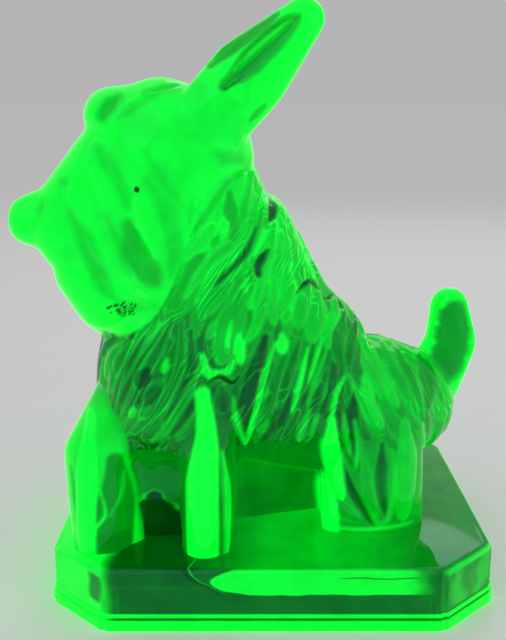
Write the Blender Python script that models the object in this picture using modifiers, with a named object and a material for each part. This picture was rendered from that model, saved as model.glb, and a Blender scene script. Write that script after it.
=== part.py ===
"""A pressed uranium-glass terrier standing on a clipped-corner plinth.

The figure is one pressing, divided here into the regions where its masses meet. Each region is
the union of a few hulls, and a hull is the skin stretched over two to four stretched balls.
The frame is metres, +Z up, the dog facing -X, with the origin under the middle of its box.
"""

import math

import bmesh
import bpy
from mathutils import Matrix, Vector

MM = 0.001
GAP = 0.35 * MM  # parting gap between regions

# The plinth, in millimetres: a block with four clipped corners
PLINTH_LENGTH = 125.4
PLINTH_DEPTH = 112.0
PLINTH_HEIGHT = 17.4
CORNER_CLIP = 16.5
TOP_EDGE_RADIUS = 2.2
FOOT_HEIGHT = 3.0  # the foot band stands proud of the wall by WALL_INSET
BEAD_BOTTOM = 3.6
BEAD_TOP = 4.7
BEAD_INSET = 0.3
WALL_INSET = 0.8
FOOT_EDGE_RADIUS = 0.4

# The recess that the plunger leaves in the plinth, and its finger up into the body
RECESS_WALL = 6.5
RECESS_HEIGHT = 10.8
RECESS_EDGE_RADIUS = 2.0
FLOOR_CLEARANCE = 5.0  # how far a cutter runs on below the underside
FINGER = (
    ((2, -8, 8), (23, 7.8, 6), 18),
    ((-2, -11, 40), (19, 7.8, 8), 20),
    ((-12, -18, 74), (10, 7.8, 9), 20),
)

# Each region's hulls: balls of (centre), (radii) and a turn about Z in degrees.
# Millimetres from the middle of the plinth's underside, the dog facing -X.
TORSO = (
    (((-29, -29, 64), (20, 21, 26), 35), ((-15, -22, 62), (21, 22, 27), 25)),
    (
        ((-14, -22, 60), (20, 21, 24), 20),
        ((12, -13, 50), (20, 21, 22), 15),
        ((30, -7, 47), (20, 20, 21), 10),
    ),
    (((29, -8, 51), (18, 18, 19), 10), ((43.5, -2.5, 48), (13, 13, 16), 10)),
    (((-39, -31, 52), (11, 14, 13), 45), ((-28, -34, 54), (12, 13, 15), 35)),
    (
        ((-24, -22, 92), (20, 19, 20), 10),
        ((-15.5, -21, 112), (12.5, 17, 16), 0),
        ((-9, -20, 72), (21, 20, 22), 20),
    ),
    (
        ((-8.5, -20, 103), (14, 16, 12.5), 0),
        ((1, -17, 80), (16.5, 17, 14), 10),
        ((-12, -22, 60), (18, 18, 20), 20),
    ),
    (
        ((1, -17, 80), (16.5, 17, 14), 10),
        ((10, -14, 67), (18, 18, 18), 15),
        ((-12, -22, 60), (18, 18, 20), 20),
    ),
    (
        ((-11, -12, 15), (22, 12.5, 8), 20),
        ((14, -4, 15), (20, 12.5, 8), 15),
        ((2, -9, 45), (26, 14, 12), 18),
    ),
    (((-38, -28, 15), (9, 8, 8), 35), ((-24, -26, 15), (10, 10, 8), 35), ((-32, -27, 44), (12, 11, 8), 35)),
)
HEAD = (
    (
        ((-31, -20, 123), (19, 19, 22.5), 0),
        ((-19, -20, 122), (14, 18, 20), 0),
        ((-27, -20, 108), (20, 19, 20), 0),
    ),
    (((-44, -21, 135), (8, 13, 8), 0), ((-33, -20, 128), (16, 17, 16), 0)),
    (
        ((-47, -21, 124), (8, 14, 9), 0),
        ((-56, -22, 110), (10, 12, 10), 0),
        ((-36, -21, 112), (14, 17, 16), 0),
    ),
    (
        ((-59, -23, 105), (8.5, 11, 10), 0),
        ((-55, -22, 99), (9.5, 12, 8), 0),
        ((-38, -21, 98), (14, 16, 14), 0),
    ),
    (((-67.4, -23, 106.8), (6.5, 8, 7.2), 0), ((-60, -23, 107), (7, 9, 10), 0)),
)
BEARD = (
    (
        ((-52, -23, 92.5), (9.5, 12, 9), 0),
        ((-45, -23, 84.5), (11, 12.5, 10.5), 0),
        ((-37, -22, 89), (11, 12.5, 11), 0),
    ),
    (((-46, -23, 90), (10, 11, 9), 0), ((-44, -22, 97), (9, 10, 8), 0)),
)
LEFT_EAR = (
    (
        ((-15, -29, 136), (11, 7, 10), 0),
        ((-7, -28, 145), (11, 7, 10.5), 0),
        ((-10, -27, 135), (6, 6, 6), 0),
    ),
    (((-7, -28, 145), (11, 7, 10.5), 0), ((7.6, -26, 159.8), (6, 5, 6), 0)),
)
LEFT_FRONT_LEG = (
    (
        ((-19, -41, 16), (6.8, 7, 4), 15),
        ((-18.5, -41, 50), (8, 8.5, 9), 15),
        ((-17, -28, 16), (6.5, 7, 4), 15),
        ((-17, -28, 50), (8, 8.5, 9), 15),
    ),
    (((-18.5, -41, 50), (8, 8.5, 9), 15), ((-18, -34, 60), (8, 9, 9), 15)),
)
RIGHT_FRONT_LEG = (
    (
        ((-48.2, -38, 16), (8.6, 8, 4), 30),
        ((-49.5, -36, 43), (9, 10, 9), 30),
        ((-43, -32, 16), (8, 8, 4), 30),
    ),
    (((-49.5, -36, 43), (9, 10, 9), 30), ((-39, -32, 60), (10, 11, 10), 30)),
)
LEFT_HIND_LEG = (
    (((29.5, -25, 16), (16, 7.5, 4), 10), ((29.5, -21, 42), (15.5, 11, 12), 10)),
)
RIGHT_HIND_LEG = (
    (((17, 10, 16), (13, 7.5, 4), 10), ((20, 4, 42), (14, 11, 12), 10)),
)
TAIL = (
    (((50.5, 0, 54), (9, 8, 10), 0), ((55.5, 0, 66), (8.3, 7, 8), 0)),
    (((55.5, 0, 66), (8.3, 7, 8), 0), ((54.5, 0, 77), (6.2, 5.5, 6.6), 0)),
)
HEAD_MIDPLANE = -20.5  # the head looks straight along -X, so its right ear mirrors the left

# Voxel of each region's skin, and how much the skin is relaxed over it
BODY_VOXEL = 4.4 * MM
HEAD_VOXEL = 3.7 * MM
LIMB_VOXEL = 3.1 * MM
SKIN_RELAX = 3
BALL_DETAIL = 3
LEVEL_SLACK = 0.01  # for picking the edges that lie at a block's top

GLASS = {"plinth": (0.02, 0.62, 0.08), "torso": (0.01, 0.42, 0.05)}
GLOWING_GLASS = (0.02, 0.86, 0.12)
GLASS_ROUGHNESS = 0.05
GLASS_IOR = 1.52


def clear_scene():
    for item in list(bpy.data.objects):
        bpy.data.objects.remove(item, do_unlink=True)


def new_collection(name):
    collection = bpy.data.collections.new(name)
    bpy.context.scene.collection.children.link(collection)
    return collection


def glass(name):
    material = bpy.data.materials.new(name + "_glass")
    material.use_nodes = True
    shader = material.node_tree.nodes["Principled BSDF"]
    shader.inputs["Base Color"].default_value = (*GLASS.get(name, GLOWING_GLASS), 1)
    shader.inputs["Roughness"].default_value = GLASS_ROUGHNESS
    shader.inputs["Metallic"].default_value = 0
    shader.inputs["IOR"].default_value = GLASS_IOR
    return material


def add_object(name, mesh, collection):
    item = bpy.data.objects.new(name, mesh)
    collection.objects.link(item)
    return item


def mesh_from(bm, name):
    mesh = bpy.data.meshes.new(name)
    bm.to_mesh(mesh)
    bm.free()
    return mesh


def add_hull(bm, balls):
    """The convex skin over some stretched balls, added to bm."""
    ball = bmesh.new()
    bmesh.ops.create_icosphere(ball, subdivisions=BALL_DETAIL, radius=1)
    skin = bmesh.new()
    for centre, radii, turn in balls:
        place = Matrix.Translation(Vector(centre) * MM) @ Matrix.Rotation(math.radians(turn), 4, "Z")
        stretch = Matrix.Diagonal((*(r * MM for r in radii), 1))
        for vertex in ball.verts:
            skin.verts.new(place @ stretch @ vertex.co)
    ball.free()
    bmesh.ops.convex_hull(skin, input=skin.verts)
    bmesh.ops.delete(skin, geom=[v for v in skin.verts if not v.link_faces], context="VERTS")
    bmesh.ops.recalc_face_normals(skin, faces=skin.faces)
    if skin.calc_volume(signed=True) < 0:
        bmesh.ops.reverse_faces(skin, faces=skin.faces)
    hull = mesh_from(skin, "hull")
    bm.from_mesh(hull)
    bpy.data.meshes.remove(hull)


def mirrored(hulls, plane):
    """The same hulls on the other side of a plane of constant Y."""
    return tuple(
        tuple(((x, 2 * plane - y, z), radii, -turn) for (x, y, z), radii, turn in balls) for balls in hulls
    )


def hull_mesh(name, hulls):
    bm = bmesh.new()
    for balls in hulls:
        add_hull(bm, balls)
    return mesh_from(bm, name)


def add_skin(item, voxel):
    """One soft skin over the overlapping hulls."""
    remesh = item.modifiers.new("skin", "REMESH")
    remesh.mode = "VOXEL"
    remesh.voxel_size = voxel
    relax = item.modifiers.new("relax", "SMOOTH")
    relax.iterations = SKIN_RELAX


def add_boolean(item, other, operation="DIFFERENCE"):
    boolean = item.modifiers.new(other.name, "BOOLEAN")
    boolean.operation = operation
    boolean.solver = "EXACT"
    boolean.object = other


def as_cutter(item):
    item.hide_render = True
    item.display_type = "WIRE"


def add_region(name, hulls, voxel, collections):
    """A region's solid, and a cutter one parting gap larger that trims its neighbours."""
    mesh = hull_mesh(name, hulls)
    region = add_object(name, mesh, collections["figure"])
    add_skin(region, voxel)
    cutter = add_object(name + "_cutter", mesh.copy(), collections["cutters"])
    add_skin(cutter, voxel)
    swell = cutter.modifiers.new("swell", "DISPLACE")
    swell.mid_level = 0
    swell.strength = GAP
    as_cutter(cutter)
    return region, cutter


def clipped_block(name, inset, bottom, top, edge_radius, collection, edge_segments=4):
    """A block with clipped corners, inset from the plinth's outline, its top edge rounded."""
    bm = bmesh.new()
    size = (PLINTH_LENGTH - 2 * inset, PLINTH_DEPTH - 2 * inset, top - bottom)
    middle = Vector((0, 0, (bottom + top) / 2)) * MM
    stretch = Matrix.Diagonal((*(side * MM for side in size), 1))
    bmesh.ops.create_cube(bm, size=1, matrix=Matrix.Translation(middle) @ stretch)
    uprights = [e for e in bm.edges if abs(e.verts[0].co.z - e.verts[1].co.z) > MM]
    clip = CORNER_CLIP - inset * (2 - math.sqrt(2))
    bmesh.ops.bevel(bm, geom=uprights, offset=clip * MM, offset_type="OFFSET", segments=1, affect="EDGES")
    rim = [e for e in bm.edges if min(v.co.z for v in e.verts) > (top - LEVEL_SLACK) * MM]
    bmesh.ops.bevel(
        bm, geom=rim, offset=edge_radius * MM, offset_type="OFFSET", segments=edge_segments,
        profile=0.5, affect="EDGES"
    )
    return add_object(name, mesh_from(bm, name), collection)


def make_plinth(collections, finger):
    figure, cutters = collections["figure"], collections["cutters"]
    plinth = clipped_block("plinth", WALL_INSET, 0, PLINTH_HEIGHT, TOP_EDGE_RADIUS, figure)
    foot = clipped_block("foot_band", 0, 0, FOOT_HEIGHT, FOOT_EDGE_RADIUS, cutters, 2)
    bead = clipped_block("bead", BEAD_INSET, BEAD_BOTTOM, BEAD_TOP, FOOT_EDGE_RADIUS, cutters, 2)
    recess = clipped_block(
        "recess", RECESS_WALL, -FLOOR_CLEARANCE, RECESS_HEIGHT, RECESS_EDGE_RADIUS, cutters
    )
    for shape in (foot, bead):
        as_cutter(shape)
        add_boolean(plinth, shape, "UNION")
    as_cutter(recess)
    add_boolean(plinth, recess)
    add_boolean(plinth, finger)
    return plinth


def make_finger(collections):
    """The plunger's finger: the hollow that rises from the recess into the body."""
    finger = add_object("finger", hull_mesh("finger", (FINGER,)), collections["cutters"])
    as_cutter(finger)
    return finger


def make_ground_cutter(collections):
    """A block that stands for the plinth, so that the body and the legs end just above it."""
    ground = clipped_block(
        "ground", -FLOOR_CLEARANCE, -FLOOR_CLEARANCE, PLINTH_HEIGHT + GAP / MM, FOOT_EDGE_RADIUS,
        collections["cutters"]
    )
    as_cutter(ground)
    return ground


def make_figure(collections):
    finger = make_finger(collections)
    ground = make_ground_cutter(collections)
    make_plinth(collections, finger)
    torso, torso_cutter = add_region("torso", TORSO, BODY_VOXEL, collections)
    add_boolean(torso, ground)
    add_boolean(torso, finger)
    head, head_cutter = add_region("head", HEAD, HEAD_VOXEL, collections)
    add_boolean(head, torso_cutter)
    beard, beard_cutter = add_region("beard", BEARD, HEAD_VOXEL, collections)
    add_boolean(beard, torso_cutter)
    add_boolean(beard, head_cutter)
    ears = (("left_ear", LEFT_EAR), ("right_ear", mirrored(LEFT_EAR, HEAD_MIDPLANE)))
    for name, hulls in ears:
        ear, _ = add_region(name, hulls, LIMB_VOXEL, collections)
        add_boolean(ear, head_cutter)
    legs = (
        ("left_front_leg", LEFT_FRONT_LEG),
        ("right_front_leg", RIGHT_FRONT_LEG),
        ("left_hind_leg", LEFT_HIND_LEG),
        ("right_hind_leg", RIGHT_HIND_LEG),
    )
    for name, hulls in legs:
        leg, _ = add_region(name, hulls, LIMB_VOXEL, collections)
        add_boolean(leg, ground)
        add_boolean(leg, torso_cutter)
    tail, _ = add_region("tail", TAIL, LIMB_VOXEL, collections)
    add_boolean(tail, torso_cutter)


def box_of(items):
    """The lowest and highest corners of the evaluated objects."""
    depsgraph = bpy.context.evaluated_depsgraph_get()
    points = []
    for item in items:
        shape = item.evaluated_get(depsgraph)
        points += [shape.matrix_world @ v.co for v in shape.data.vertices]
    low = Vector([min(p[axis] for p in points) for axis in range(3)])
    high = Vector([max(p[axis] for p in points) for axis in range(3)])
    return low, high


def centre_on_origin(collections):
    """Hangs everything on an empty, moved so that the origin is under the middle of the box."""
    low, high = box_of(collections["figure"].objects)
    anchor = bpy.data.objects.new("figure_anchor", None)
    for collection in collections.values():
        for item in collection.objects:
            item.parent = anchor
    collections["cutters"].objects.link(anchor)
    anchor.location = (-(low.x + high.x) / 2, -(low.y + high.y) / 2, -low.z)


def main():
    clear_scene()
    collections = {"figure": new_collection("terrier_figure"), "cutters": new_collection("cutters")}
    make_figure(collections)
    for item in collections["figure"].objects:
        item.data.materials.append(glass(item.name))
        item.data.shade_smooth()
    centre_on_origin(collections)


main()
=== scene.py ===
"""The looks of a pressed uranium-glass terrier on a clipped-corner plinth.

The glass is one skin: soft masses stretched over balls, sculpted with locks of hair, then joined
to a crisp plinth and hollowed from below. Figure sizes are millimetres from the middle of the
plinth's underside, the dog facing -X, and to_world() turns them into the frame's metres.
"""

import math

import bmesh
import bpy
import numpy as np
from mathutils import Matrix, Vector
from mathutils.bvhtree import BVHTree
from mathutils.kdtree import KDTree


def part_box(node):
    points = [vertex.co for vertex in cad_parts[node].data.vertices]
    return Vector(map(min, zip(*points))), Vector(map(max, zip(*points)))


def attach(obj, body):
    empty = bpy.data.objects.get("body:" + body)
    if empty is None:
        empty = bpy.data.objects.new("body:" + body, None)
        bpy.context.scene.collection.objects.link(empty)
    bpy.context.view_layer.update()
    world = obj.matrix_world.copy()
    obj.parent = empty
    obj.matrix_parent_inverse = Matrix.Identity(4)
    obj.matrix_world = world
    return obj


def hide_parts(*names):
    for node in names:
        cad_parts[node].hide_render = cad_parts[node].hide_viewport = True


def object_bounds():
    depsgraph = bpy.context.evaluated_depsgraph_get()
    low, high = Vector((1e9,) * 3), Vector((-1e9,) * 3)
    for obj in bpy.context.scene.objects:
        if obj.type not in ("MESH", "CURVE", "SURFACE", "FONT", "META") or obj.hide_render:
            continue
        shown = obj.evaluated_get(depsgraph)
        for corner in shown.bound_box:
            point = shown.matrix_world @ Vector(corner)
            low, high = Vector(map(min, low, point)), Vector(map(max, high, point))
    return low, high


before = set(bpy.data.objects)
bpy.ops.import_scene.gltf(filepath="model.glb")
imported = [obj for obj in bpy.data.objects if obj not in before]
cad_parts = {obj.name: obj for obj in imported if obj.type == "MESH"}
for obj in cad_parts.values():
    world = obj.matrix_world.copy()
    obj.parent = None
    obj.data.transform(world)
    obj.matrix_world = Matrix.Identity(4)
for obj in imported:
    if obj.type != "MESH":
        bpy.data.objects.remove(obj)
CAD_BOX = [list(corner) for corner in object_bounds()]

MM = 0.001
PLINTH_LOW, PLINTH_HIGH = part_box("plinth")
ORIGIN = Vector(((PLINTH_LOW.x + PLINTH_HIGH.x) / 2, (PLINTH_LOW.y + PLINTH_HIGH.y) / 2, PLINTH_LOW.z))
PLINTH_LENGTH = (PLINTH_HIGH.x - PLINTH_LOW.x) / MM
PLINTH_DEPTH = (PLINTH_HIGH.y - PLINTH_LOW.y) / MM
PLINTH_HEIGHT = (PLINTH_HIGH.z - PLINTH_LOW.z) / MM

CORNER_CLIP = 16.5
UPRIGHT_EDGE_RADIUS = 1.2
TOP_EDGE_RADIUS = 2.2
FOOT_EDGE_RADIUS = 0.6
FOOT_HEIGHT = 3.0
BEAD_BOTTOM = 3.6
BEAD_TOP = 4.7
BEAD_INSET = 0.3
WALL_INSET = 0.8
RECESS_WALL = 6.5
RECESS_HEIGHT = 10.8
RECESS_EDGE_RADIUS = 2.0
BELOW = 5.0  # how far a cutter runs on below the underside

# Hulls: balls of (centre), (radii) and a turn about Z in degrees
FINGER = (
    ((2, -8, 8), (23, 7.8, 6), 18),
    ((-2, -11, 40), (19, 7.8, 8), 20),
    ((-12, -18, 74), (10, 7.8, 9), 20),
)
TORSO = (
    (((-29, -29, 64), (20, 21, 26), 35), ((-15, -22, 62), (21, 22, 27), 25)),
    (
        ((-14, -22, 60), (20, 21, 24), 20),
        ((12, -13, 50), (20, 21, 22), 15),
        ((30, -7, 47), (20, 20, 21), 10),
    ),
    (((29, -8, 51), (18, 18, 19), 10), ((43.5, -2.5, 48), (13, 13, 16), 10)),
    (((-39, -31, 52), (11, 14, 13), 45), ((-28, -34, 54), (12, 13, 15), 35)),
    (
        ((-24, -22, 92), (20, 19, 20), 10),
        ((-15.5, -21, 112), (12.5, 17, 16), 0),
        ((-9, -20, 72), (21, 20, 22), 20),
    ),
    (
        ((-8.5, -20, 103), (14, 16, 12.5), 0),
        ((1, -17, 80), (16.5, 17, 14), 10),
        ((-12, -22, 60), (18, 18, 20), 20),
    ),
    (
        ((1, -17, 80), (16.5, 17, 14), 10),
        ((10, -14, 67), (18, 18, 18), 15),
        ((-12, -22, 60), (18, 18, 20), 20),
    ),
    (
        ((-11, -12, 15), (22, 12.5, 8), 20),
        ((14, -4, 15), (20, 12.5, 8), 15),
        ((2, -9, 45), (26, 14, 12), 18),
    ),
    (((-38, -28, 15), (9, 8, 8), 35), ((-24, -26, 15), (10, 10, 8), 35), ((-32, -27, 44), (12, 11, 8), 35)),
)
HEAD = (
    (
        ((-31, -20, 123), (19, 19, 22.5), 0),
        ((-19, -20, 122), (14, 18, 20), 0),
        ((-27, -20, 108), (20, 19, 20), 0),
    ),
    (((-44, -21, 135), (8, 13, 8), 0), ((-33, -20, 128), (16, 17, 16), 0)),
    (
        ((-47, -21, 124), (8, 14, 9), 0),
        ((-56, -22, 110), (10, 12, 10), 0),
        ((-36, -21, 112), (14, 17, 16), 0),
    ),
    (
        ((-59, -23, 105), (8.5, 11, 10), 0),
        ((-55, -22, 99), (9.5, 12, 8), 0),
        ((-38, -21, 98), (14, 16, 14), 0),
    ),
    (((-67.4, -23, 106.8), (6.5, 8, 7.2), 0), ((-60, -23, 107), (7, 9, 10), 0)),
)
BEARD = (
    (
        ((-52, -23, 92.5), (9.5, 12, 9), 0),
        ((-45, -23, 84.5), (11, 12.5, 10.5), 0),
        ((-37, -22, 89), (11, 12.5, 11), 0),
    ),
    (((-46, -23, 90), (10, 11, 9), 0), ((-44, -22, 97), (9, 10, 8), 0)),
)
LEFT_EAR = (
    (
        ((-15, -29, 136), (11, 7, 10), 0),
        ((-7, -28, 145), (11, 7, 10.5), 0),
        ((-10, -27, 135), (6, 6, 6), 0),
    ),
    (((-7, -28, 145), (11, 7, 10.5), 0), ((7.6, -26, 159.8), (6, 5, 6), 0)),
)
LEGS = (
    (
        ((-19, -41, 16), (6.8, 7, 4), 15),
        ((-18.5, -41, 50), (8, 8.5, 9), 15),
        ((-17, -28, 16), (6.5, 7, 4), 15),
        ((-17, -28, 50), (8, 8.5, 9), 15),
    ),
    (((-18.5, -41, 50), (8, 8.5, 9), 15), ((-18, -34, 60), (8, 9, 9), 15)),
    (
        ((-48.2, -38, 16), (8.6, 8, 4), 30),
        ((-49.5, -36, 43), (9, 10, 9), 30),
        ((-43, -32, 16), (8, 8, 4), 30),
    ),
    (((-49.5, -36, 43), (9, 10, 9), 30), ((-39, -32, 60), (10, 11, 10), 30)),
    (((29.5, -25, 16), (16, 7.5, 4), 10), ((29.5, -21, 42), (15.5, 11, 12), 10)),
    (((17, 10, 16), (13, 7.5, 4), 10), ((20, 4, 42), (14, 11, 12), 10)),
)
TAIL = (
    (((50.5, 0, 54), (9, 8, 10), 0), ((55.5, 0, 66), (8.3, 7, 8), 0)),
    (((55.5, 0, 66), (8.3, 7, 8), 0), ((54.5, 0, 77), (6.2, 5.5, 6.6), 0)),
)
HEAD_MIDPLANE = -20.5

SKIN_VOXEL = 0.62
SKIN_RELAX = 22
SEED = 7

# Locks and creases seen from the side: the (x, z) points of the middle line from root to tip, the half
# width, the height above the skin (a crease is negative), and how brightly the stretch glows from 0 to 1;
# the glow is painted light, and the creases' dimmer glow is painted shade
NECK = (
    (((-7, 123), (-12, 113), (-18, 105), (-25, 98)), 2.2, 1.0, 0.86),
    (((-3, 119), (-6, 109), (-9, 101), (-16, 95), (-21, 87)), 1.5, 1.3, 0.79),
    (((-6, 121), (-8.5, 110), (-11, 103), (-18, 97), (-24, 88)), 1.5, 1.4, 0.78),
    (((-12, 115.5), (-11.5, 108), (-11, 103)), 1.9, -0.7, 0.64),
    (((-13.5, 109), (-13, 105)), 1.5, 0.7, 0.95),
    (((-14.5, 105), (-16.5, 101.5)), 1.2, 0.7, 0.78),
    (((-3, 112), (-5, 105), (-9, 98), (-15, 92.5), (-20, 84)), 1.6, 1.2, 0.7),
    (((-5, 106), (-8, 99.5), (-13, 94.5), (-16, 91)), 1.0, 1.0, 0.3),
    (((1, 113), (3, 106), (4, 98), (3, 92)), 1.8, 1.0, 0.81),
    (((-0.5, 112.5), (-0.5, 109), (-1.5, 107.5)), 1.3, -0.7, 0.12),
    (((3.5, 108), (5.5, 101), (6, 95)), 1.4, 0.8, 0.78),
    (((0, 107), (-1, 101), (-2.5, 95), (-4, 88), (-5, 80)), 1.6, 1.0, 0.78),
    (((-2, 100), (-4.5, 96), (-4, 93)), 1.3, -0.6, 0.18),
    (((-12, 92), (-16, 88), (-20, 83)), 2.0, 1.2, 0.67),
    (((-6.5, 95), (-8.5, 90), (-12, 84)), 2.7, 1.4, 0.64),
    (((-7.5, 93), (-9, 89), (-11.5, 85.5)), 1.2, 0.6, 0.89),
    (((-10, 87), (-14, 82), (-18, 78)), 1.6, 1.0, 0.7),
    (((0, 92), (-0.5, 86), (0, 80)), 1.6, 0.9, 0.78),
    (((-2, 91), (-3, 86), (-5, 80), (-8, 76)), 1.5, 1.1, 0.75),
    (((3.5, 95), (4, 88), (3, 80)), 2.2, 1.0, 0.79),
    (((9.5, 90), (8, 85), (6.5, 78)), 2.4, 1.2, 0.72),
    (((6, 88), (9.5, 90.5), (13, 87.5)), 0.7, -0.6, 0.1),
    (((12, 86.5), (12, 80), (10, 74)), 2.8, 1.2, 0.72),
    (((14.5, 85), (17, 84.5), (20, 81)), 0.6, -0.6, 0.12),
    (((17.5, 84), (17, 78), (14.5, 72)), 2.0, 1.1, 0.75),
    (((-9, 89), (-12, 80), (-14.5, 71)), 3.6, 1.4, 0.66),
    (((-11.5, 82), (-13, 75)), 0.6, 0.5, 0.95),
    (((-9.5, 78), (-9, 70.5)), 1.5, 0.9, 0.97),
    (((2, 77), (2.5, 72)), 1.8, 0.6, 0.97),
)
FLANK = (
    (((-2.5, 77), (-5, 68), (-8, 58), (-9, 50)), 2.8, 1.3, 0.22),
    (((4.5, 76), (1, 66), (-2, 56), (-5, 47)), 1.6, 1.1, 0.45),
    (((0, 75), (-3, 66), (-5.5, 55), (-8, 46)), 0.9, 1.2, 0.85),
    (((7, 75), (4, 66), (1, 57)), 1.5, 1.0, 0.42),
    (((11, 74), (9, 66), (5, 56)), 1.4, 0.9, 0.38),
    (((9.3, 72.5), (7, 63), (4.7, 55.5)), 0.7, 1.1, 0.95),
    (((15, 66), (11, 56), (7, 46)), 1.6, 0.9, 0.38),
    (((13.5, 75), (11.5, 69), (9.5, 63)), 0.6, 0.9, 0.9),
    (((14.8, 72), (12.5, 66), (9, 58)), 0.5, 0.8, 0.7),
    (((10, 56), (7, 46)), 0.5, 0.5, 0.7),
    (((12.5, 54), (9.5, 45)), 0.5, 0.5, 0.62),
    (((-11, 62), (-10.5, 57), (-8.5, 49), (-8, 46)), 0.7, 0.9, 0.8),
    (((-14, 65), (-13.5, 58)), 2.2, 0.8, 0.3),
    (((-19, 74), (-17.5, 69.5), (-13, 69), (-10.5, 72)), 1.3, 0.8, 0.92),
    (((-18, 66.5), (-14.5, 68), (-11, 66), (-9, 68)), 0.7, -0.8, 0.08),
    (((-2, 54), (-3, 50)), 1.0, 0.5, 0.7),
)
CHEST = (
    (((-41, 76), (-44, 71), (-45.5, 66)), 1.6, 0.52, 0.55),
    (((-38, 77), (-42, 70), (-44.5, 62)), 1.4, 0.59, 0.5),
    (((-34, 79), (-38, 72), (-42, 63), (-45, 52)), 1.3, 0.65, 0.42),
    (((-30, 80), (-35, 72), (-40, 63), (-43, 54)), 1.2, 0.65, 0.36),
    (((-27, 83), (-31, 75), (-36, 66), (-40, 57)), 1.3, 0.65, 0.4),
    (((-33, 60), (-38, 55), (-41, 51)), 2.2, 0.59, 0.55),
    (((-24.5, 82), (-24.5, 72), (-28, 64), (-34, 57), (-38, 52)), 1.5, 0.72, 0.48),
    (((-22, 80), (-22, 70), (-26, 62), (-30, 56)), 1.6, 0.72, 0.33),
    (((-20, 70), (-24, 62), (-29, 54), (-33, 50)), 1.2, 0.65, 0.58),
    (((-19, 66), (-23, 59), (-28, 52)), 1.3, 0.65, 0.28),
    (((-18.5, 62), (-22, 55), (-26, 51)), 1.0, 0.59, 0.45),
    (((-33, 71), (-36, 66)), 2.2, -0.3, 0.12),
    (((-28, 73.5), (-29, 70)), 0.9, 0.33, 0.9),
    (((-37, 60), (-38.5, 57)), 0.9, 0.33, 0.85),
)
RUMP = (
    (((20, 80), (18, 74), (19, 67)), 2.2, 1.0, 0.45),
    (((24, 78), (22, 72), (21, 66)), 1.8, 1.0, 0.4),
    (((36, 70), (38, 64), (42, 56), (44, 47)), 1.5, 1.0, 0.55),
    (((32, 71), (34, 65), (39, 57), (42, 49)), 1.5, 1.0, 0.65),
    (((29, 68), (32, 61), (36, 53)), 1.6, 1.0, 0.8),
    (((26, 72), (28, 64), (32, 56)), 2.2, 1.1, 0.72),
    (((44, 64), (47, 56), (46, 50)), 3.0, 1.0, 0.5),
    (((26, 62), (27, 55), (31, 48)), 2.4, 0.9, 0.8),
    (((38, 48), (38.5, 38), (38, 20)), 3.4, 0.8, 0.76),
    (((31, 44), (31, 32), (32.5, 22)), 1.9, -0.4, 0.28),
    (((34, 42), (34.8, 31), (34, 23), (31.5, 19.5), (29, 23), (27.5, 32)), 0.6, 0.6, 0.75),
    (((26, 40), (27, 32), (29.5, 23)), 1.5, 0.5, 0.6),
    (((18, 42), (21, 33), (26, 24), (29, 19.5)), 1.4, -0.4, 0.22),
    (((15, 31), (19, 25), (25, 21)), 2.2, 0.4, 0.5),
    (((23, 59), (22, 50), (24, 40)), 2.2, -0.5, 0.22),
    (((20, 53), (21, 46), (22, 41)), 0.7, 0.6, 0.75),
    (((23, 51), (24, 44), (23.5, 36.5)), 0.6, 0.5, 0.8),
    (((21, 64), (25, 56), (28, 50), (31, 46.5)), 0.6, 0.7, 0.62),
    (((20, 63), (17.5, 59), (16, 52)), 0.9, 0.8, 0.92),
    (((16, 18.6), (28, 18.4), (41, 18.8)), 0.5, 0.4, 0.92),
    (((16.2, 52), (16.4, 43), (18, 33), (20, 27)), 2.9, 0.9, 1.0),
    (((15, 33), (16, 26), (16.8, 18), (17, 11)), 2.6, 0.9, 1.0),
)
HEAD_BANDS = (
    (((-46, 127), (-42, 120), (-38, 111)), 2.6, -0.5, 0.84),
    (((-49, 124), (-44, 115), (-41, 104), (-36, 94)), 2.6, 0.7, 0.98),
    (((-54, 116), (-50, 106), (-47, 98)), 2.4, 0.7, 0.97),
    (((-54, 110), (-50, 102), (-46.5, 92), (-43, 87)), 2.6, -0.5, 0.8),
    (((-44, 109), (-41, 102), (-38, 94)), 1.6, -0.3, 0.85),
    (((-33, 126), (-29, 119), (-24, 112)), 1.8, -0.4, 0.86),
    (((-33, 119), (-28, 111), (-26, 101), (-27, 94)), 2.6, -0.5, 0.84),
    (((-38.5, 107), (-35, 98), (-30, 91.5)), 3.8, -0.8, 0.72),
    (((-36, 113), (-33, 106), (-29, 98)), 2.6, 0.9, 0.96),
    (((-20, 117), (-21, 109), (-23, 102)), 1.2, 0.9, 0.94),
    (((-17, 116), (-18, 109), (-21, 103)), 1.0, 0.8, 0.9),
    (((-21.5, 114), (-22.5, 106)), 0.6, -0.5, 0.81),
    (((-41, 140), (-44, 137), (-46, 133.5)), 2.0, -0.8, 0.73),
    (((-30, 141), (-36, 138), (-40, 135)), 0.9, -0.6, 0.79),
    (((-32, 142), (-38, 138), (-43, 132)), 0.7, 0.8, 0.94),
    (((-22, 144), (-29, 142.5), (-35, 141)), 0.9, -0.6, 0.76),
    (((-57, 118.5), (-55, 117.5)), 0.7, -0.4, 0.76),
    (((-62, 113), (-63.5, 109)), 0.9, -0.6, 0.81),
    (((-15, 125.5), (-11, 123.5), (-8, 124.5)), 2.4, -0.4, 0.82),
    (((-16, 120), (-12, 121.5), (-7, 122), (-5.5, 126)), 0.8, 0.8, 0.97),
    (((-13, 118), (-8, 121), (-5.5, 124)), 0.6, -0.6, 0.76),
    (((-46, 92), (-42, 86.5), (-36, 84.8), (-30, 86)), 0.7, -0.5, 0.86),
    (((-40, 94), (-37, 91), (-32, 89)), 0.7, 0.5, 0.94),
    (((-42, 90), (-38, 87.5), (-33, 87)), 0.7, 0.4, 0.94),
)
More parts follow.
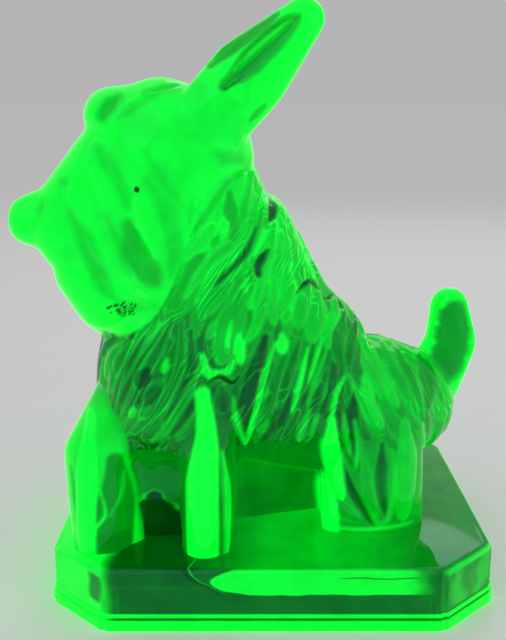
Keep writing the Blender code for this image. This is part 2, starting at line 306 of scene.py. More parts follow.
EAR_DISH = (
    (((-13, 143), (-7, 148), (0, 155), (6.5, 161)), 3.4, -1.3, 0.48),
    (((-10.5, 147), (-4, 153), (4, 159.5)), 0.7, 0.5, 0.85),
    (((-17, 148), (-9, 154.5), (1, 161.5)), 2.0, -0.6, 0.5),
    (((-6, 134), (-2, 138)), 0.9, -0.5, 0.62),
)
LEG_SLABS = (
    (((-19, 64), (-18, 52), (-19.3, 38), (-19.4, 15), (-19.4, -14)), 4.7, 0.8, 1.0),
    (((-13.8, 48), (-12.6, 36), (-12.6, 22), (-13.6, 12)), 1.1, 0.8, 0.9),
    (((-55.5, 42), (-54.5, 33), (-53, 22)), 0.9, -0.3, 0.7),
    (((-43, 44), (-43, 36), (-44, 20), (-44, 4)), 5.0, 0.3, 0.46),
    (((-47, 36), (-46, 29), (-49, 24), (-49, 14)), 0.5, 0.5, 0.95),
    (((-41, 40), (-42, 33), (-45, 28)), 0.5, 0.4, 0.7),
    (((-50, 56), (-50.5, 44), (-51.5, 30), (-52, 10)), 3.0, 0.5, 1.0),
)
EYE = (-35.9, 116.5)
EYE_EDGE = (0.4, 1.0)
FAR_FROM_EYE = 9  # added where the skin doesn't face sideways, so that no eye shows there
# The lower edge of the cheek and beard in side view; the face bulges on its front side
FACE_EDGE = (
    (-12, 124), (-17, 117), (-20.5, 110), (-23, 102), (-25.5, 96), (-27.5, 90), (-31, 84), (-36, 80),
    (-42, 78), (-50, 78), (-58, 82),
)
FACE_BULGE = 2.2


def to_world(point):
    return ORIGIN + Vector(point) * MM


def smoothstep(low, high, value):
    t = np.clip((value - low) / (high - low), 0, 1)
    return t * t * (3 - 2 * t)


# ---------------------------------------------------------------- the soft masses

def add_hull(bm, balls, detail=4):
    ball = bmesh.new()
    bmesh.ops.create_icosphere(ball, subdivisions=detail, radius=1)
    skin = bmesh.new()
    for centre, radii, turn in balls:
        place = Matrix.Translation(to_world(centre)) @ Matrix.Rotation(math.radians(turn), 4, "Z")
        stretch = Matrix.Diagonal((*(r * MM for r in radii), 1))
        for vertex in ball.verts:
            skin.verts.new(place @ stretch @ vertex.co)
    ball.free()
    bmesh.ops.convex_hull(skin, input=skin.verts)
    bmesh.ops.delete(skin, geom=[v for v in skin.verts if not v.link_faces], context="VERTS")
    bmesh.ops.recalc_face_normals(skin, faces=skin.faces)
    if skin.calc_volume(signed=True) < 0:
        bmesh.ops.reverse_faces(skin, faces=skin.faces)
    hull = bpy.data.meshes.new("hull")
    skin.to_mesh(hull)
    skin.free()
    bm.from_mesh(hull)
    bpy.data.meshes.remove(hull)


def mirrored(hulls, plane):
    return tuple(
        tuple(((x, 2 * plane - y, z), radii, -turn) for (x, y, z), radii, turn in balls) for balls in hulls
    )


def new_object(name, bm):
    mesh = bpy.data.meshes.new(name)
    bm.to_mesh(mesh)
    bm.free()
    item = bpy.data.objects.new(name, mesh)
    bpy.context.scene.collection.objects.link(item)
    return item


def bake_modifiers(item):
    """Replaces an object's mesh with what its modifiers make of it."""
    depsgraph = bpy.context.evaluated_depsgraph_get()
    mesh = bpy.data.meshes.new_from_object(item.evaluated_get(depsgraph))
    item.modifiers.clear()
    old = item.data
    item.data = mesh
    bpy.data.meshes.remove(old)


def make_body():
    bm = bmesh.new()
    groups = (TORSO, HEAD, BEARD, LEFT_EAR, mirrored(LEFT_EAR, HEAD_MIDPLANE), LEGS, TAIL)
    for hulls in groups:
        for balls in hulls:
            add_hull(bm, balls)
    body = new_object("body", bm)
    remesh = body.modifiers.new("skin", "REMESH")
    remesh.mode = "VOXEL"
    remesh.voxel_size = SKIN_VOXEL * MM
    relax = body.modifiers.new("relax", "SMOOTH")
    relax.iterations = SKIN_RELAX
    bake_modifiers(body)
    return body


# ---------------------------------------------------------------- sculpting

FURRY = ("torso", "left_hind_leg", "right_hind_leg")
# Painted light: how brightly each region's glass glows, as emission that stands for the glow and shade seen
# on the glass
BASE_GLOW = {
    "torso": 0.34, "head": 0.95, "beard": 0.98, "left_ear": 0.93, "right_ear": 0.93, "tail": 0.95,
    "left_front_leg": 0.42, "right_front_leg": 0.86, "left_hind_leg": 0.58, "right_hind_leg": 0.58,
}
# How much brighter than the chest the coat glows round the neck and over the rump, and where it brightens
NECK_GLOW, NECK_RISE = 0.54, (62, 108)
RUMP_GLOW, RUMP_RISE = 0.3, (16, 30)

SKIN_DROP = 0.35  # how far the bare skin lies below the CAD's, so that the locks don't fatten it
REGION_BLEND = 0.7
FACE_BLEND = 5.0
FACE_LOWEST = 74
FACE_REARMOST = -8
FACE_ROUNDING = 2.5
FACE_CREASE_DEPTH = 0.7
FACE_CREASE_PLACE, FACE_CREASE_WIDTH = 0.9, 0.7

STROKE_SOFTNESS = 0.45
LINE_WIDTH = 0.5
THINNEST_REACH = 0.2
# Each set of strokes, the regions it lies on, how brightly its edges shine and how soft they are
STROKE_SETS = (
    (CHEST + FLANK + NECK, ("torso",), 0.3, STROKE_SOFTNESS),
    (RUMP, FURRY, 0.25, 0.6),
    (HEAD_BANDS, ("head", "beard"), 0.05, 1.5),
    (EAR_DISH, ("left_ear", "right_ear"), 0.1, 0.7),
    (LEG_SLABS, ("left_front_leg", "right_front_leg", "torso"), 0.1, 0.6),
)

FORWARD_TILT, BACKWARD_TILT = -32, 26  # the lie of the hair from straight down, in degrees
TILT_CHANGE = (8, 30)
ROOT_CANDIDATES = 6000
LOCK_SPACING = 6.6
LOCK_LENGTH = (15, 24)
LOCK_HALF_WIDTH = (1.9, 3.3)
LOCK_BEND = (0.5, 1.5)
LOCK_TONE = (-0.18, 0.08)
LOCK_STRAY = 0.12
LOCK_HEIGHT = 0.65
LOCK_LINE_GLOW = 0.2

LEDGE_HEIGHT = 46.5
LEDGE_DEPTH = 1.8
LEDGE_SOFTNESS = 0.8
WEB_REAR = (42, 36)
WEB_GLOW = 0.42
# painted shade: under an arch between the front legs the glow is painted darker, with a painted bright line
# along the arch
ARCH_TOP = (-34, 31)
ARCH_HALF_WIDTH, ARCH_RISE = 10.5, 13
ARCH_PAINTED_SHADE = 0.34
ARCH_LINE_GLOW, ARCH_LINE_WIDTH = 0.4, 0.7

SCUFF_PLACE, SCUFF_SIZE = (-40.5, 84.3), (4.6, 2.0)
SCUFF_SHARE = 0.3
SCUFF_GLOW = 0.1

TAIL_DISH_FOOT, TAIL_DISH_TIP = (53.5, 54.0), (57.0, 81.0)
TAIL_DISH_HALF_WIDTH = 7.0
TAIL_DISH_DEPTH = 1.6
# painted shade: the dimmer glow inside the tail's hollows
TAIL_DISH_GLOW = 0.45


class Skin:
    """The body's points in figure millimetres, with the height and the glow sculpted on each."""

    def __init__(self, item):
        self.item = item
        mesh = item.data
        count = len(mesh.vertices)
        co = np.empty(count * 3)
        mesh.vertices.foreach_get("co", co)
        no = np.empty(count * 3)
        mesh.vertices.foreach_get("normal", no)
        self.co = (co.reshape(-1, 3) - np.array(ORIGIN)) / MM
        self.no = no.reshape(-1, 3)
        self.lift = np.zeros(count)
        self.share = self.region_shares(REGION_BLEND)
        self.shape_face(self.region_shares(FACE_BLEND)["torso"])
        self.glow = sum(self.share[name] * glow for name, glow in BASE_GLOW.items())
        neck = smoothstep(*NECK_RISE, self.co[:, 2])
        rump = smoothstep(*RUMP_RISE, self.co[:, 0])
        self.glow += self.share["torso"] * (NECK_GLOW * neck + RUMP_GLOW * rump * (1 - neck))

    def region_shares(self, blend):
        """How much each point belongs to each of the figure's regions, adding up to 1."""
        depsgraph = bpy.context.evaluated_depsgraph_get()
        world = [to_world(p) for p in self.co]
        shares = {}
        for name in BASE_GLOW:
            tree = BVHTree.FromObject(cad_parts[name], depsgraph)
            away = np.array([tree.find_nearest(p)[3] for p in world]) / MM
            shares[name] = np.exp(-np.minimum(away, 20) / blend) + 1e-14
        total = sum(shares.values())
        return {name: share / total for name, share in shares.items()}

    def shape_face(self, torso_nearby):
        """Gives the cheek and beard their edge in front of the neck and chest."""
        flat = self.co[:, (0, 2)]
        away, hand, _ = nearest_on_curve(flat, through_points(FACE_EDGE))
        inside = away * -hand * (flat[:, 1] > FACE_LOWEST)
        face = smoothstep(-0.5, 0.5, inside) * (flat[:, 1] > FACE_LOWEST) * (flat[:, 0] < FACE_REARMOST)
        taken = self.share["torso"] * face
        self.share["torso"] = self.share["torso"] - taken
        self.share["head"] = self.share["head"] + taken
        roundness = np.sqrt(np.clip(inside / FACE_ROUNDING, 0, 1))
        self.rise = FACE_BULGE * torso_nearby * face * roundness
        crease = np.exp(-(((away - FACE_CREASE_PLACE) / FACE_CREASE_WIDTH) ** 2)) * (hand > 0)
        self.rise -= FACE_CREASE_DEPTH * (crease * self.share["torso"])

    def belongs(self, names):
        return sum(self.share[name] for name in names)

    def stroke(self, where, away, reach, depth, tone, strength, line, soft=STROKE_SOFTNESS):
        """Lays one lock or crease over the points it touches, with its painted glow, and a painted highlight
        along its edges.
        """
        across = np.clip(away / np.maximum(reach, THINNEST_REACH), 0, 1.5)
        border = away - reach
        cover = smoothstep(soft, -soft, border) * strength
        crown = np.clip(1 - across * across, 0, 1)
        if depth > 0:
            self.lift[where] += (depth * (0.3 + 0.7 * crown) - self.lift[where]) * cover
        else:
            self.lift[where] += depth * crown * cover
        # painted highlight: a bright line glows along each lock's edge and, on wide locks, through its
        # middle
        rim = np.exp(-((border / LINE_WIDTH) ** 2)) * strength
        core = np.exp(-(((across - 0.45) * reach / LINE_WIDTH) ** 2)) * (reach > 1.7) * cover
        glow = self.glow[where]
        glow += (tone - glow) * cover
        glow += line * (1 - glow) * np.clip(rim + 0.35 * core, 0, 1)
        self.glow[where] = glow

    def write(self):
        moved = self.co + self.no * (self.lift + self.rise - SKIN_DROP)[:, None]
        world = np.clip(moved * MM + np.array(ORIGIN), *CAD_BOX)
        self.item.data.vertices.foreach_set("co", world.ravel())
        self.item.data.update()


def through_points(points, steps=8):
    """A smooth curve through points (Catmull-Rom), as an array of rows."""
    p = np.array(points, float)
    if len(p) == 2:
        return p[0] + (p[1] - p[0]) * np.linspace(0, 1, steps)[:, None]
    p = np.vstack([2 * p[0] - p[1], p, 2 * p[-1] - p[-2]])
    t = np.linspace(0, 1, steps, endpoint=False)[:, None]
    rows = []
    for a, b, c, d in zip(p, p[1:], p[2:], p[3:]):
        rows.append(0.5 * (2 * b + (c - a) * t + (2 * a - 5 * b + 4 * c - d) * t ** 2
                           + (3 * b - a - 3 * c + d) * t ** 3))
    return np.vstack([*rows, p[-2:-1]])


def nearest_on_curve(points, curve):
    """Each point's distance from the curve, which side it is on, and how far along it lies, 0 to 1."""
    starts = curve[:-1]
    runs = np.diff(curve, axis=0)
    lengths = np.linalg.norm(runs, axis=1)
    before = np.concatenate([[0], np.cumsum(lengths)[:-1]])
    away = points[:, None, :] - starts[None]
    t = np.clip((away * runs).sum(axis=2) / lengths ** 2, 0, 1)
    gap = away - runs * t[:, :, None]
    distance = np.linalg.norm(gap, axis=2)
    pick = distance.argmin(axis=1)
    row = np.arange(len(points))
    along = (before[pick] + t[row, pick] * lengths[pick]) / lengths.sum()
    cross = runs[pick, 0] * gap[row, pick, 1] - runs[pick, 1] * gap[row, pick, 0]
    return distance[row, pick], np.sign(cross), along


def leaf_width(along):
    """A lock's width along it, as a share: narrow at the root, full in the middle, round at the tip."""
    rise = 0.45 + 0.55 * smoothstep(0, 0.35, along)
    fall = np.sqrt(np.clip(1 - np.clip((along - 0.45) / 0.55, 0, 1) ** 2.4, 0, 1))
    return rise * fall


def side_strokes(skin, side, strokes, names, line, soft):
    """Lays strokes drawn in side view on the surfaces that face that side."""
    facing = smoothstep(0.05, 0.35, skin.no[:, 1] * side) * smoothstep(0.2, 0.6, skin.belongs(names))
    flat = skin.co[:, (0, 2)]
    for points, half_width, depth, tone in strokes:
        curve = through_points(points)
        margin = half_width + 2 * LINE_WIDTH + soft
        low, high = curve.min(axis=0) - margin, curve.max(axis=0) + margin
        inside = ((flat > low) & (flat < high)).all(axis=1) & (facing > 0)
        where = np.where(inside)[0]
        if not len(where):
            continue
        away, _, along = nearest_on_curve(flat[where], curve)
        reach = half_width * leaf_width(along)
        skin.stroke(where, away, reach, depth, tone, facing[where], line, soft)


def hair_direction(co):
    """Hair lies forward and down over the neck and flank, and backward and down over the rump."""
    backward = smoothstep(*TILT_CHANGE, co[:, 0])
    tilt = np.radians(FORWARD_TILT + (BACKWARD_TILT - FORWARD_TILT) * backward)
    return np.stack([np.sin(tilt), np.zeros(len(co)), -np.cos(tilt)], axis=1)


def spread_roots(points, spacing, rng):
    """Roots no closer together than the spacing, picked in a seeded order."""
    chosen = []
    kept = np.empty((0, 3))
    for index in rng.permutation(len(points)):
        gap = ((kept - points[index]) ** 2).sum(axis=1)
        if len(kept) and gap.min() < spacing ** 2:
            continue
        kept = np.vstack([kept, points[index]])
        chosen.append(index)
    return np.array(chosen)


def comb_fur(skin, rng):
    """Random locks all over the coat, lower ones first so that the higher ones overlap them."""
    coat = np.where((skin.belongs(FURRY) > 0.5) & (skin.co[:, 2] > LEDGE_HEIGHT))[0]
    thinned = coat[rng.permutation(len(coat))[:ROOT_CANDIDATES]]
    roots = thinned[spread_roots(skin.co[thinned], LOCK_SPACING, rng)]
    roots = roots[np.argsort(skin.co[roots, 2])]
    member = smoothstep(0.3, 0.7, skin.belongs(FURRY))
    bare = skin.glow.copy()
    for index, direction in zip(roots, hair_direction(skin.co[roots])):
        up = skin.no[index]
        direction = direction + rng.normal(0, LOCK_STRAY, 3)
        along = direction - (direction @ up) * up
        along /= np.linalg.norm(along)
        side = np.cross(up, along)
        length = rng.uniform(*LOCK_LENGTH)
        bend = rng.uniform(*LOCK_BEND) * rng.choice((-1, 1))
        half_width = rng.uniform(*LOCK_HALF_WIDTH)
        tone = bare[index] + rng.uniform(*LOCK_TONE)
        d = skin.co - skin.co[index]
        near = np.where(((d ** 2).sum(axis=1) < length ** 2) & (skin.no @ up > 0.2) & (member > 0.02))[0]
        flat = np.stack([d[near] @ along, d[near] @ side], axis=1)
        middle = np.linspace(-0.35, 0.65, 5)
        curve = through_points([(u * length, bend * math.sin(2 * math.pi * u)) for u in middle])
        away, _, place = nearest_on_curve(flat, curve)
        reach = half_width * leaf_width(place)
        skin.stroke(near, away, reach, LOCK_HEIGHT, tone, member[near], LOCK_LINE_GLOW)


def undercut_webs(skin):
    """Below the ledge the webs between the legs stand back from the coat; under an arch between the front
    legs the glow is painted darker as shade, with a painted bright line along the arch.
    """
    web = smoothstep(0.5, 0.8, skin.share["torso"]) * smoothstep(*WEB_REAR, skin.co[:, 0])
    below = smoothstep(LEDGE_HEIGHT + LEDGE_SOFTNESS, LEDGE_HEIGHT - LEDGE_SOFTNESS, skin.co[:, 2])
    skin.lift -= LEDGE_DEPTH * below * web
    arch = ARCH_TOP[1] - ARCH_RISE * ((skin.co[:, 0] - ARCH_TOP[0]) / ARCH_HALF_WIDTH) ** 2 - skin.co[:, 2]
    ripple = arch + 0.8 * np.sin(0.9 * skin.co[:, 0]) + 0.5 * np.sin(1.9 * skin.co[:, 2])
    # painted shade under the arch, and a painted highlight line along it
    glow = WEB_GLOW - ARCH_PAINTED_SHADE * smoothstep(-0.5, 0.5, ripple)
    glow += ARCH_LINE_GLOW * np.exp(-((ripple / ARCH_LINE_WIDTH) ** 2))
    skin.glow += (glow - skin.glow) * below * web


def scuff_beard(skin, rng):
    """A patch of small dark flecks low on the beard's near side."""
    d = (skin.co[:, (0, 2)] - np.array(SCUFF_PLACE)) / np.array(SCUFF_SIZE)
    patch = ((d ** 2).sum(axis=1) < 1) & (skin.no[:, 1] < -0.3)
    flecks = np.where(patch)[0]
    picked = flecks[rng.random(len(flecks)) < SCUFF_SHARE]
    skin.glow[picked] = SCUFF_GLOW


def dish_tail(skin):
    """The tail is a leaf with a thick rim and a hollow on each side; the hollow's glow is painted darker as
    shade.
    """
    start, end = np.array(TAIL_DISH_FOOT), np.array(TAIL_DISH_TIP)
    axis = end - start
    length = np.linalg.norm(axis)
    axis /= length
    d = skin.co[:, (0, 2)] - start
    u = (d @ axis) / length
    ragged = 0.5 * np.sin(1.1 * skin.co[:, 2]) + 0.3 * np.sin(2.3 * skin.co[:, 2] + 1)
    v = (d @ np.array((-axis[1], axis[0]))) / (TAIL_DISH_HALF_WIDTH + ragged)
    oval = 1 - v * v - (2 * u - 1) ** 4
    inside = smoothstep(0, 0.45, oval) * skin.share["tail"] * smoothstep(0.2, 0.5, np.abs(skin.no[:, 1]))
    skin.lift -= TAIL_DISH_DEPTH * inside
    skin.glow += (TAIL_DISH_GLOW - skin.glow) * inside


def sculpt(body):
    skin = Skin(body)
    rng = np.random.default_rng(SEED)
    comb_fur(skin, rng)
    undercut_webs(skin)
    for side in (-1, 1):
        for strokes, names, line, soft in STROKE_SETS:
            side_strokes(skin, side, strokes, names, line, soft)
    dish_tail(skin)
    scuff_beard(skin, rng)
    off_side = np.abs(skin.no[:, 1]) < 0.4
    skin.eye = np.linalg.norm(skin.co[:, (0, 2)] - np.array(EYE), axis=1) + FAR_FROM_EYE * off_side
    skin.fur = skin.belongs(FURRY) * smoothstep(LEDGE_HEIGHT - 2, LEDGE_HEIGHT + 2, skin.co[:, 2])
    skin.write()
    return skin


# ---------------------------------------------------------------- the plinth and its hollows

def clipped_block(name, inset, bottom, top, edge_radius, segments=4):
    bm = bmesh.new()
    size = (PLINTH_LENGTH - 2 * inset, PLINTH_DEPTH - 2 * inset, top - bottom)
    stretch = Matrix.Diagonal((*(side * MM for side in size), 1))
    middle = Matrix.Translation(to_world((0, 0, (bottom + top) / 2)))
    bmesh.ops.create_cube(bm, size=1, matrix=middle @ stretch)
    uprights = [e for e in bm.edges if abs(e.verts[0].co.z - e.verts[1].co.z) > MM]
    clip = CORNER_CLIP - inset * (2 - math.sqrt(2))
    bmesh.ops.bevel(bm, geom=uprights, offset=clip * MM, offset_type="OFFSET", segments=1, affect="EDGES")
    uprights = [e for e in bm.edges if abs(e.verts[0].co.z - e.verts[1].co.z) > MM]
    bmesh.ops.bevel(
        bm, geom=uprights, offset=UPRIGHT_EDGE_RADIUS * MM, offset_type="OFFSET", segments=3, affect="EDGES"
    )
    level = to_world((0, 0, top - 0.01)).z
    rim = [e for e in bm.edges if min(v.co.z for v in e.verts) > level and len(e.link_faces) == 2
           and any(f.normal.z < 0.5 for f in e.link_faces)]
    bmesh.ops.bevel(
        bm, geom=rim, offset=edge_radius * MM, offset_type="OFFSET", segments=segments, profile=0.5,
        affect="EDGES",
    )
    return new_object(name, bm)


def marker(name):
    return bpy.data.materials.new(name)


def join_glass(body):
    """One closed glass mesh: the body and the plinth together, less the recess and the finger."""
    shell = clipped_block("shell", WALL_INSET, 0, PLINTH_HEIGHT, TOP_EDGE_RADIUS, 6)
    foot = clipped_block("foot", 0, 0, FOOT_HEIGHT, FOOT_EDGE_RADIUS)
    bead = clipped_block("bead", BEAD_INSET, BEAD_BOTTOM, BEAD_TOP, 0.5)
    recess = clipped_block("recess", RECESS_WALL, -BELOW, RECESS_HEIGHT, RECESS_EDGE_RADIUS, 6)
    bm = bmesh.new()
    add_hull(bm, FINGER, 5)
    finger = new_object("finger", bm)
    zones = (marker("zone_body"), marker("zone_plinth"), marker("zone_inner"))
    for item, zone in ((body, 0), (shell, 1), (foot, 1), (bead, 1), (recess, 2), (finger, 2)):
        item.data.materials.append(zones[zone])
    # the body must not reach below the plinth's top slab
    floor = clipped_block("floor", RECESS_WALL, -BELOW, PLINTH_HEIGHT - 2, 0.2)
    floor.data.materials.append(zones[2])
    steps = (
        (floor, "DIFFERENCE"), (shell, "UNION"), (foot, "UNION"), (bead, "UNION"),
        (recess, "DIFFERENCE"), (finger, "DIFFERENCE"),
    )
    for other, operation in steps:
        boolean = body.modifiers.new(other.name, "BOOLEAN")
        boolean.operation = operation
        boolean.solver = "MANIFOLD"
        boolean.material_mode = "TRANSFER"
        boolean.object = other
    bake_modifiers(body)
    for other, _ in steps:
        bpy.data.objects.remove(other)
    return body


# ---------------------------------------------------------------- attributes

BODY_ZONE, PLINTH_ZONE, INNER_ZONE = 0, 1, 2


def carry(source, fields, mesh):
    """Brings the figure's fields to the joined glass, each point taking its nearest point's values."""
    tree = KDTree(len(source))
    for index, p in enumerate(source):
        tree.insert(p, index)
    tree.balance()
    found = np.array([tree.find(vertex.co)[1] for vertex in mesh.vertices])
    for name, values in fields.items():
        attribute = mesh.attributes.new(name, "FLOAT", "POINT")
        attribute.data.foreach_set("value", values[found].astype(np.float32))


def keep_zones(mesh):
    """Notes on each face which part of the glass it comes from, named by its material."""
    order = {"zone_body": BODY_ZONE, "zone_plinth": PLINTH_ZONE, "zone_inner": INNER_ZONE}
    by_slot = np.array([order[m.name] for m in mesh.materials])
    slots = np.empty(len(mesh.polygons), int)
    mesh.polygons.foreach_get("material_index", slots)
    attribute = mesh.attributes.new("zone", "FLOAT", "FACE")
    attribute.data.foreach_set("value", by_slot[slots].astype(np.float32))
    mesh.polygons.foreach_set("material_index", np.zeros(len(slots), int))
    mesh.materials.clear()


# ---------------------------------------------------------------- materials

class Nodes:
    """A short way to write a material's arithmetic."""

    def __init__(self, material):
        material.use_nodes = True
        self.tree = material.node_tree
        self.shader = self.tree.nodes["Principled BSDF"]
        self.output = self.tree.nodes["Material Output"]

    def link(self, source, target):
        self.tree.links.new(source, target)

    def put(self, value, socket):
        if isinstance(value, bpy.types.NodeSocket):
            self.link(value, socket)
        else:
            socket.default_value = value

    def math(self, operation, *values, clamp=False):
        node = self.tree.nodes.new("ShaderNodeMath")
        node.operation = operation
        node.use_clamp = clamp
        for value, socket in zip(values, node.inputs):
            self.put(value, socket)
        return node.outputs[0]

    def rise(self, value, low, high):
        """0 at low, 1 at high, and smooth between."""
        node = self.tree.nodes.new("ShaderNodeMapRange")
        node.interpolation_type = "SMOOTHSTEP"
        self.put(value, node.inputs["Value"])
        node.inputs["From Min"].default_value = low
        node.inputs["From Max"].default_value = high
        return node.outputs["Result"]

    def band(self, value, low, high, soft):
        up = self.rise(value, low - soft, low + soft)
        down = self.rise(value, high + soft, high - soft)
        return self.math("MULTIPLY", up, down)

    def blend(self, under, over, cover):
        """under where cover is 0, over where it is 1."""
        node = self.tree.nodes.new("ShaderNodeMix")
        node.data_type = "FLOAT"
        self.put(cover, node.inputs[0])
        self.put(under, node.inputs[2])
        self.put(over, node.inputs[3])
        return node.outputs[0]

    def attribute(self, name):
        node = self.tree.nodes.new("ShaderNodeAttribute")
        node.attribute_name = name
        return node.outputs["Fac"]

    def place(self):
        """Where a point lies from the middle of the plinth's underside, in millimetres."""
        coords = self.tree.nodes.new("ShaderNodeTexCoord")
        shift = self.tree.nodes.new("ShaderNodeMapping")
        shift.vector_type = "POINT"
        shift.inputs["Location"].default_value = [-c / MM for c in ORIGIN]
        shift.inputs["Scale"].default_value = [1 / MM] * 3
        self.link(coords.outputs["Object"], shift.inputs["Vector"])
        split = self.tree.nodes.new("ShaderNodeSeparateXYZ")
        self.link(shift.outputs["Vector"], split.inputs["Vector"])
        return shift.outputs["Vector"], split.outputs

    def stretched(self, vector, turn, size):
        """Coordinates turned about the Y axis and drawn out to the given size along each."""
        node = self.tree.nodes.new("ShaderNodeMapping")
        node.vector_type = "TEXTURE"
        node.inputs["Rotation"].default_value = (0, turn, 0)
        node.inputs["Scale"].default_value = size
        self.link(vector, node.inputs["Vector"])
        return node.outputs["Vector"]

    def noise(self, vector, scale, detail=2.0):
        node = self.tree.nodes.new("ShaderNodeTexNoise")
        node.inputs["Scale"].default_value = scale
        node.inputs["Detail"].default_value = detail
        self.link(vector, node.inputs["Vector"])
        return node.outputs["Fac"]

    def ramp(self, value, stops):
        node = self.tree.nodes.new("ShaderNodeValToRGB")
        elements = node.color_ramp.elements
        while len(elements) < len(stops):
            elements.new(0.5)
        for element, (position, colour) in zip(elements, stops):
            element.position = position
            element.color = (*colour, 1)
        self.link(value, node.inputs["Fac"])
        return node.outputs["Color"]


WALL_GLOW = 0.3
INNER_GLOW = 0.05
LINE_SIZE = (6, 6, 70)  # across the hair, through it and along it
GLASS_COLOUR = (0.0, 0.4, 0.02, 1)
DEEP_GLASS_COLOUR = (0.0, 0.7, 0.03, 1)
DEEP_GLASS_DENSITY = 420
GLOW_COLOURS = (
    (0.0, (0.0, 0.004, 0.0)), (0.25, (0.0, 0.05, 0.001)), (0.5, (0.0, 0.22, 0.004)),
    (0.75, (0.0, 0.5, 0.01)), (1.0, (0.0, 1.0, 0.03)),
)


def add_bar(nodes, glow, across, height, wave):
    """The bar of light in the slab's front edge: round on its left, fading on its right."""
    end = nodes.math("MULTIPLY", nodes.math("MINIMUM", nodes.math("ADD", across, 4.0), 0.0), 1 / 13)
    tall = nodes.math("MULTIPLY", nodes.math("ADD", height, -14.0), 1 / 3.7)
    oval = nodes.math("ADD", nodes.math("MULTIPLY", end, end), nodes.math("MULTIPLY", tall, tall))
    fading = nodes.rise(nodes.math("ADD", across, nodes.math("MULTIPLY", wave, 2.0)), 44.0, 34.0)
    glow = nodes.blend(glow, 0.97, nodes.math("MULTIPLY", nodes.rise(oval, 1.1, 0.9), fading))
    streak = nodes.math("MULTIPLY", nodes.band(height, 15.0, 15.3, 0.2), nodes.band(across, 18.0, 38.0, 2.0))
    return nodes.blend(glow, 0.45, streak)


def add_top(nodes, glow, across, z):
    """The slab's top is brightest in the middle and dark at its left front."""
    top = nodes.rise(z, PLINTH_HEIGHT - 0.5, PLINTH_HEIGHT - 0.1)
    falling = nodes.blend(1.0, 0.4, nodes.rise(across, 20.0, 48.0))
    lit = nodes.math("MULTIPLY", nodes.rise(across, -26.0, 0.0), falling)
    return nodes.blend(glow, nodes.math("MULTIPLY_ADD", lit, 0.5, 0.18), top)


def add_seam(nodes, glow, across, y, z):
    """A seam runs forward over the slab's top and down its front to the bar, drawn in the glow as a painted
    dark band beside a painted bright line.
    """
    droop = nodes.math("MULTIPLY", nodes.math("MAXIMUM", nodes.math("SUBTRACT", 14.0, z), 0.0), 0.8)
    seam = nodes.math("ADD", nodes.math("ADD", z, across), nodes.math("MULTIPLY", y, -0.25))
    seam = nodes.math("SUBTRACT", seam, droop)
    high = nodes.math("MULTIPLY", nodes.rise(z, 10.0, 11.0), nodes.rise(y, -28.0, -36.0))
    glow = nodes.blend(glow, 0.1, nodes.math("MULTIPLY", nodes.band(seam, 6.4, 7.6, 0.3), high))
    return nodes.blend(glow, 0.85, nodes.math("MULTIPLY", nodes.band(seam, 8.1, 8.4, 0.3), high))


def add_foot(nodes, glow, z):
    """The foot and the bead shine with painted glow, and the groove between them is painted dark as shade.
    """
    glow = nodes.blend(glow, 0.9, nodes.rise(z, FOOT_HEIGHT + 0.1, FOOT_HEIGHT - 0.3))
    glow = nodes.blend(glow, 0.95, nodes.band(z, BEAD_BOTTOM + 0.1, BEAD_TOP, 0.15))
    return nodes.blend(glow, 0.1, nodes.band(z, FOOT_HEIGHT, BEAD_BOTTOM, 0.1))


def add_right_corner(nodes, glow, x, z, wave):
    """The right corners have faint upright stripes in the painted glow and a painted highlight along the
    rim.
    """
    stripes = nodes.math("SINE", nodes.math("MULTIPLY_ADD", wave, 3.0, x))
    stripes = nodes.math("MULTIPLY_ADD", stripes, 0.11, 0.6)
    corner = nodes.rise(x, 44.0, 48.0)
    side = nodes.math("MULTIPLY", corner, nodes.rise(z, PLINTH_HEIGHT, PLINTH_HEIGHT - 1))
    glow = nodes.blend(glow, stripes, nodes.math("MULTIPLY", side, nodes.rise(z, BEAD_TOP, BEAD_TOP + 1)))
    rim = nodes.math("MULTIPLY", corner, nodes.band(z, PLINTH_HEIGHT - 1.9, PLINTH_HEIGHT - 0.5, 0.4))
    return nodes.blend(glow, 0.85, rim)


def add_left_corner(nodes, glow, across, height):
    """The left corners glow brightly with painted light, but for a darker patch of glow beside the front
    wall.
    """
    left = nodes.rise(across, -42.0, -47.0)
    glow = nodes.blend(glow, 0.97, nodes.math("MULTIPLY", left, 0.95))
    notch = nodes.math("MULTIPLY", nodes.band(across, -50.0, -46.5, 1.0), nodes.band(height, 7.5, 15.0, 0.8))
    return nodes.blend(glow, 0.42, notch)


def plinth_glow(nodes, vector, x, y, z):
    """How brightly the plinth glows; across and height are x and z with a slow waver."""
    wave = nodes.math("MULTIPLY_ADD", nodes.noise(vector, 0.09), 5.0, -2.5)
    across = nodes.math("ADD", x, wave)
    height = nodes.math("ADD", z, nodes.math("MULTIPLY", wave, 0.35))
    glow = add_bar(nodes, WALL_GLOW, across, height, wave)
    glow = add_top(nodes, glow, across, z)
    glow = add_seam(nodes, glow, across, y, z)
    glow = add_foot(nodes, glow, z)
    glow = add_right_corner(nodes, glow, x, z, wave)
    return add_left_corner(nodes, glow, across, height)


def hair_glow_lines(nodes, vector, x):
    """Thin wavy lines of painted light and painted shade in the glow that follow the lie of the hair."""
    laid = []
    for tilt in (FORWARD_TILT, BACKWARD_TILT):
        along = nodes.stretched(vector, math.radians(-tilt), LINE_SIZE)
        steps = nodes.math("FRACT", nodes.math("MULTIPLY", nodes.noise(along, 1.0, 0.6), 11.0))
        laid.append(nodes.band(steps, 0.4, 0.6, 0.14))
    lines = nodes.blend(*laid, nodes.rise(x, *TILT_CHANGE))
    patches = nodes.rise(nodes.noise(vector, 0.07), 0.44, 0.6)
    lines = nodes.math("MULTIPLY", nodes.math("MULTIPLY_ADD", lines, 0.28, -0.04), patches)
    lines = nodes.math("MULTIPLY", lines, nodes.blend(1.0, 0.6, nodes.rise(x, 14.0, 30.0)))
    return nodes.math("MULTIPLY", lines, nodes.attribute("fur"))


